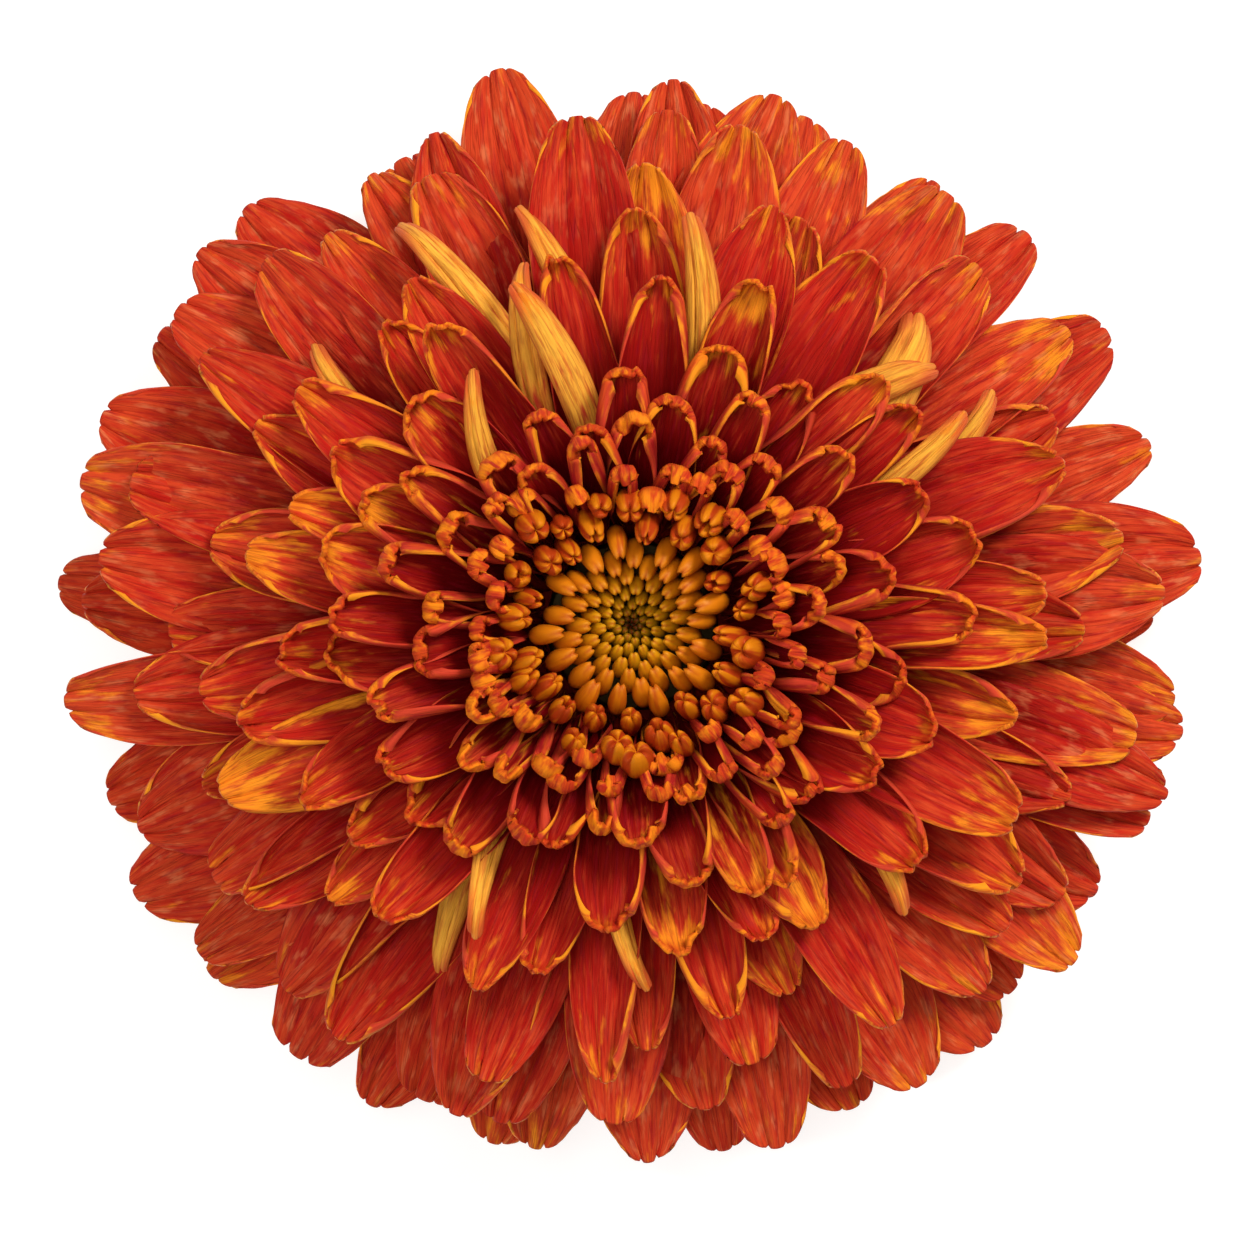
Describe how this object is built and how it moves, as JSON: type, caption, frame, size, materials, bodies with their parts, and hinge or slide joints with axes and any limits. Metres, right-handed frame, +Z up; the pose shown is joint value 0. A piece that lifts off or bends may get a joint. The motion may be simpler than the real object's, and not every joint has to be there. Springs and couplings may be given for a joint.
{
  "type": "cremon chrysanthemum",
  "caption": "Red-orange cremon chrysanthemum bloom, picked with a short cut stalk, resting face up, with golden buds in its centre.",
  "frame": {"origin": "middle of the stalk's cut face, on the surface that the bloom rests on", "axes": "+Z up through the middle of the bloom, towards its face; +X to the right and +Y to the top of the picture"},
  "size_m": [0.1102, 0.1048, 0.0353],
  "materials": {
    "petal": "soft satin petal, red-orange with crimson streaks above and golden below",
    "bud": "waxy golden floret buds, olive in the middle",
    "bract": "matt green leaf with a papery brown edge",
    "stalk": "ridged green stalk with a pale cut face"
  },
  "bodies": {
    "root": {"ray_florets": "petal", "disc_florets": "bud", "involucre": "bract", "stalk": "stalk"}
  },
  "joints": []
}
